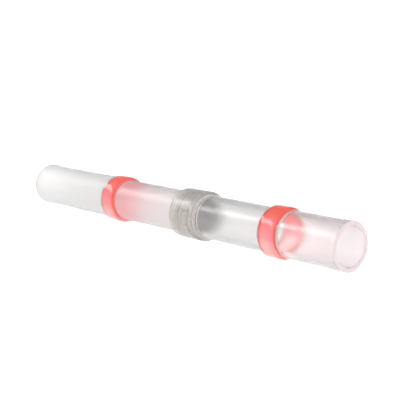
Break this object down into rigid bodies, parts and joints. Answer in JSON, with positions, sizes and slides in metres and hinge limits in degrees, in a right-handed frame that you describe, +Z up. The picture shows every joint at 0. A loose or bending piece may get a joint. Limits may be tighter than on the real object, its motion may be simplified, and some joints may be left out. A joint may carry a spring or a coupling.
{
  "type": "butt splice connector",
  "caption": "Clear heat-shrink sleeve with a grey solder ring at its middle bulge and a red hot-melt seal ring near each open end, for splicing wires end to end.",
  "frame": {"origin": "below the middle of the sleeve's length, on the surface that the connector lies on", "axes": "+X along the sleeve towards its shorter tail, +Z up from the surface that it lies on"},
  "size_m": [0.04, 0.0042, 0.0043],
  "materials": {
    "clear_polyolefin": "clear, slightly frosted",
    "solder": "dull, with fine turned lines",
    "red_hot_melt": "translucent, satin"
  },
  "bodies": {
    "root": {"heat_shrink_sleeve": "clear_polyolefin", "solder_ring": "solder", "left_seal_ring": "red_hot_melt", "right_seal_ring": "red_hot_melt"}
  },
  "joints": []
}
